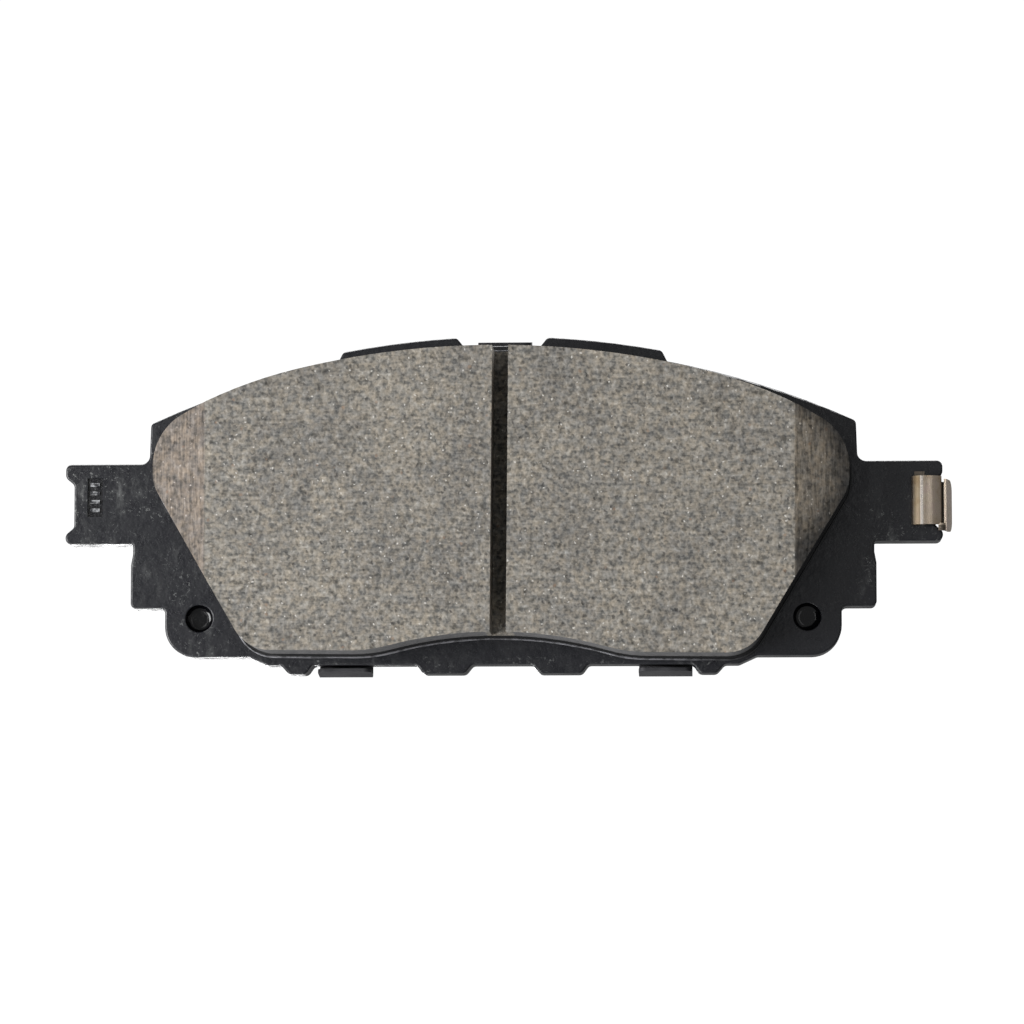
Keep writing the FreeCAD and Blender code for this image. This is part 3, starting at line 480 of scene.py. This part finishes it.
def coat_material():
    """Black powder coat, dusty and scratched on the left, with clean, glossy dimples and stamped field."""
    s = Surface("plate_coat")
    peel = s.noise(1.3)
    micro = s.noise(5.0, detail=3, roughness=0.6)
    cloud = s.noise(0.16, detail=4, roughness=0.6)
    colour = s.palette(micro, [(0.35, (0.0075, 0.0080, 0.0110)), (0.7, (0.0140, 0.0145, 0.0185))])

    x = s.axis("X")
    z = s.axis("Z")
    on_left = s.ramp(x, -36.0, -46.0)
    on_left_ear = s.ramp(x, -54.0, -58.0)
    on_right_ear = s.product(s.ramp(x, 52.0, 56.0), s.ramp(z, 3.0, -3.0))
    on_lower_lugs = s.ramp(z, -22.5, -24.0)
    wear = s.total(0.14, s.product(on_left, 0.40), s.product(on_left_ear, 0.45), on_right_ear,
                   s.product(on_lower_lugs, 0.40))
    wear = s.product(wear, s.ramp(cloud, 0.38, 0.62, 0.15, 1.7))

    ragged = s.vector("ADD", s.place, s.vector("SCALE", s.noise(1.4, detail=3, colour=True), scale=1.6))
    flecks = s.ramp(s.noise(1.5, ragged, detail=3, roughness=0.7), 0.60, 0.70)
    specks = s.spots(2.6, ragged, "Y", chosen=(0.75, 0.95), fade=(0.34, 0.12))
    smear = s.ramp(s.noise(0.55, s.stretched((1.0, 1.0, 0.45)), detail=5, roughness=0.7), 0.50, 0.72)
    scuff = s.ramp(s.noise(1.0, s.stretched((0.30, 1.0, 2.2)), detail=5, roughness=0.75), 0.60, 0.76)
    marks = s.total(s.product(flecks, 0.85), s.product(specks, 0.75), s.product(smear, 0.26),
                    s.product(scuff, 0.28))
    marks = s.math("MULTIPLY", marks, wear, clamp=True)

    sunk = s.ramp(s.axis("Y"), PLATE_FRONT + 0.05, PLATE_FRONT + 0.25)
    in_dimple = s.product(sunk, s.ramp(s.far_from(DIMPLE_AT), *DIMPLE_EDGE))
    from_mark = s.vector("ABSOLUTE", s.vector("SUBTRACT", s.place, MARK_AT))
    beside_mark = s.axis("X", from_mark)
    above_mark = s.axis("Z", from_mark)
    floor_or_wall = s.ramp(s.facing("X"), 0.0, 0.5, 0.6, 1.0)
    in_mark = s.product(s.ramp(beside_mark, *MARK_EDGES[0]), s.ramp(above_mark, *MARK_EDGES[1]),
                        floor_or_wall, sunk)
    glossy = s.math("MAXIMUM", in_dimple, in_mark)
    colour = s.mix(glossy, colour, (0.003, 0.003, 0.004))
    marks = s.product(marks, s.outside(glossy))
    colour = s.mix(marks, colour, (0.20, 0.205, 0.20))
    # Raised bars in the stamped field: paler where the paint is worn, and the paleness also stands in for the
    # glints they catch, a painted highlight.
    on_bar = s.product(s.ramp(beside_mark, *BAR_EDGES[0]), s.ramp(above_mark, *BAR_EDGES[1]), s.outside(sunk))
    wear_and_glint = s.product(on_bar, s.ramp(s.noise(1.1, detail=3, roughness=0.7), 0.42, 0.62))
    colour = s.mix(wear_and_glint, colour, (0.42, 0.43, 0.44))

    satin = s.ramp(s.noise(0.45, detail=4, roughness=0.6), 0.35, 0.65, 0.27, 0.43)
    roughness = s.blend(glossy, s.blend(marks, satin, 0.7), 0.13)
    normal = s.bump(s.product(peel, s.blend(glossy, 1.0, 0.3)), 0.10, 0.6)
    normal = s.bump(micro, 0.02, 0.5, under=normal)
    return s.finish(colour, roughness, normal)


def shim_paint_material():
    s = Surface("outer_shim")
    tone = s.noise(0.35, detail=4, roughness=0.6)
    micro = s.noise(8.0)
    colour = s.palette(tone, [(0.3, (0.030, 0.030, 0.034)), (0.7, (0.046, 0.045, 0.050))])
    wander = s.vector("SCALE", s.noise(0.05, colour=True), scale=6.0)
    drawn = s.vector("ADD", s.stretched((0.10, 1.0, 3.0)), wander)
    scratch = s.ramp(s.noise(1.0, drawn, detail=4, roughness=0.7), 0.62, 0.74)
    rub_wear_and_highlight = s.ramp(s.noise(0.07, detail=5, roughness=0.65), 0.48, 0.66)
    wear_and_glint = s.total(s.product(scratch, 0.45), s.product(rub_wear_and_highlight, 0.22))
    colour = s.mix(wear_and_glint, colour, (0.15, 0.15, 0.155))
    roughness = s.ramp(tone, 0.3, 0.7, 0.48, 0.62)
    return s.finish(colour, roughness, s.bump(micro, 0.015, 0.5), specular=0.35)


def shim_steel_material():
    s = Surface("shim_steel")
    lines = s.noise(1.0, s.stretched((0.2, 6.0, 9.0)), detail=4, roughness=0.7)
    colour = s.palette(lines, [(0.3, (0.36, 0.36, 0.37)), (0.7, (0.50, 0.50, 0.51))])
    return s.finish(colour, s.ramp(lines, 0.3, 0.7, 0.32, 0.5), s.bump(lines, 0.01, 0.4), metallic=1.0)


def rubber_material():
    s = Surface("shim_rubber")
    tone = s.noise(0.5, detail=4)
    micro = s.noise(7.0, detail=3)
    colour = s.palette(tone, [(0.3, (0.020, 0.020, 0.021)), (0.7, (0.032, 0.032, 0.034))])
    return s.finish(colour, s.ramp(tone, 0.3, 0.7, 0.55, 0.75), s.bump(micro, 0.03, 0.6), specular=0.35)


def clip_material():
    s = Surface("spring_steel")
    lines = s.noise(1.0, s.stretched((9.0, 9.0, 0.25)), detail=4, roughness=0.7)
    stain = s.noise(0.55, detail=4, roughness=0.6)
    colour = s.palette(stain, [
        (0.30, (0.52, 0.40, 0.28)),
        (0.50, (0.64, 0.54, 0.43)),
        (0.70, (0.62, 0.49, 0.42)),
    ])
    x = s.axis("X")
    z = s.axis("Z")
    # Brown stain on the band's left, darkened further as painted shade that dims the lamp's highlight there.
    stain_and_shade = s.between(x, *CLIP_STAIN_AND_SHADE)
    colour = s.mix(stain_and_shade, colour, s.tinted(colour, (0.50, 0.48, 0.42)))
    on_tab = s.ramp(z, *CLIP_TAB_ROOT)
    colour = s.mix(on_tab, colour, (0.20, 0.17, 0.14))
    # Painted highlight: a pale line down the band's crown, kept off the tab.
    rub_wear_and_highlight = s.product(s.between(x, *CLIP_PAINTED_HIGHLIGHT), s.outside(on_tab))
    colour = s.mix(s.product(rub_wear_and_highlight, 0.6), colour, (0.85, 0.82, 0.78))
    # Painted shade in the fold between band and wing; the link below is darkened with the same colour.
    fold_shade = s.product(s.between(x, *CLIP_FOLD), s.ramp(s.axis("Y"), *CLIP_FOLD_FRONT))
    on_link = s.product(s.ramp(z, *CLIP_LINK[1]), s.ramp(x, *CLIP_LINK[0]), 0.8)
    colour = s.mix(s.math("MAXIMUM", fold_shade, on_link), colour, (0.05, 0.042, 0.036))
    roughness = s.blend(stain_and_shade, s.ramp(lines, 0.3, 0.7, 0.24, 0.36), 0.55)
    normal = s.bump(lines, 0.012, 0.6)
    normal = s.bump(s.noise(0.8), 0.10, 0.35, under=normal)
    return s.finish(colour, roughness, normal, metallic=1.0)


# ---------------------------------------------------------------- the object

BEAD_INSET = 0.17                   # mm, bead's middle line inside the film's outer edge
BEAD_HALF_WIDTH = 0.16              # mm
BEAD_HEIGHT = 0.16                  # mm above the film
BEAD_STEPS = 8                      # points across the half-round ridge
BEAD_SPACING = 0.4                  # mm between cross-sections
BEAD_ROOT = 0.01                    # mm that the ridge starts inside the film
BEAD_WAVES = 14                     # waves that make its width and height uneven
WAVES_ROUND_LOOP = (9, 70)
WAVE_SIZES = (0.02, 0.07)
SAME_PLACE = 1e-7                   # metres
SHARP_TURN = 0.5                    # radians between the faces beside an outer edge


def film_outline():
    """The film's outer edge on its front face, as points in order round the block, in metres."""
    mesh = bmesh.new()
    mesh.from_mesh(NODES["adhesive_film"].data)
    bmesh.ops.remove_doubles(mesh, verts=mesh.verts, dist=SAME_PLACE)
    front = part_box("adhesive_film")[0].y
    links = {}
    for edge in mesh.edges:
        a, b = edge.verts
        on_front = max(a.co.y, b.co.y) < front + 10 * SAME_PLACE
        if on_front and len(edge.link_faces) == 2 and edge.calc_face_angle(0.0) > SHARP_TURN:
            links.setdefault(a, []).append(b)
            links.setdefault(b, []).append(a)
    start = max(links, key=lambda vertex: vertex.co.x)
    loop = [start]
    following = links[start][0]
    while following is not start:
        before = loop[-1]
        loop.append(following)
        following = [vertex for vertex in links[following] if vertex is not before][0]
    points = [vertex.co.copy() for vertex in loop]
    mesh.free()
    return points


def even_loop(points, spacing):
    """The closed loop through the points, at even steps of about the given spacing."""
    ends = points[1:] + points[:1]
    lengths = [(b - a).length for a, b in zip(points, ends)]
    count = round(sum(lengths) / spacing)
    step = sum(lengths) / count
    even = []
    travelled = 0.0
    for a, b, length in zip(points, ends, lengths):
        while len(even) * step < travelled + length and len(even) < count:
            even.append(a.lerp(b, (len(even) * step - travelled) / length))
        travelled += length
    return even


def make_bead():
    """The adhesive squeezed out round the block: an uneven half-round ridge on the film's margin."""
    points = even_loop(film_outline(), BEAD_SPACING * MM)
    count = len(points)
    middle = sum(points, Vector()) / count
    rng = random.Random(7)
    waves = []
    for _ in range(BEAD_WAVES):
        waves.append((rng.randint(*WAVES_ROUND_LOOP), rng.uniform(0, 2 * math.pi), rng.uniform(*WAVE_SIZES)))
    verts = []
    for index, here in enumerate(points):
        along = (points[(index + 1) % count] - points[index - 1]).normalized()
        inward = Vector((-along.z, 0.0, along.x))
        if inward.dot(middle - here) < 0:
            inward = -inward
        turn = 2 * math.pi * index / count
        swell = 1 + sum(size * math.sin(turns * turn + phase) for turns, phase, size in waves)
        for step in range(BEAD_STEPS):
            angle = math.pi * step / (BEAD_STEPS - 1)
            across = BEAD_INSET - BEAD_HALF_WIDTH * swell * math.cos(angle)
            rise = BEAD_HEIGHT * swell * math.sin(angle) - BEAD_ROOT
            verts.append(here + inward * (across * MM) + Vector((0.0, -rise * MM, 0.0)))
    faces = []
    for index in range(count):
        this = index * BEAD_STEPS
        after = (index + 1) % count * BEAD_STEPS
        for step in range(BEAD_STEPS):
            beside = (step + 1) % BEAD_STEPS
            faces.append((this + step, this + beside, after + beside, after + step))
    mesh = bpy.data.meshes.new("adhesive_bead")
    mesh.from_pydata(verts, [], faces)
    bead = bpy.data.objects.new("adhesive_bead", mesh)
    bpy.context.scene.collection.objects.link(bead)
    tidy = bmesh.new()
    tidy.from_mesh(mesh)
    bmesh.ops.recalc_face_normals(tidy, faces=tidy.faces)
    tidy.to_mesh(mesh)
    tidy.free()
    mesh.shade_smooth()
    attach(bead, "pad")
    return bead


def dress_nodes():
    rubber = rubber_material()
    adhesive = adhesive_material()
    dress("backing_plate", coat_material())
    dress("adhesive_film", adhesive)
    make_bead().data.materials.append(adhesive)
    dress("underlayer", underlayer_material())
    dress("friction_block", friction_material())
    dress("inner_shim_front_rubber", rubber)
    dress("inner_shim_rear_rubber", rubber)
    dress("inner_shim_core", shim_steel_material())
    dress("outer_shim", shim_paint_material())
    dress("ear_clip", clip_material())


bpy.context.scene.view_settings.view_transform = "Standard"
make_camera()
make_studio()
dress_nodes()
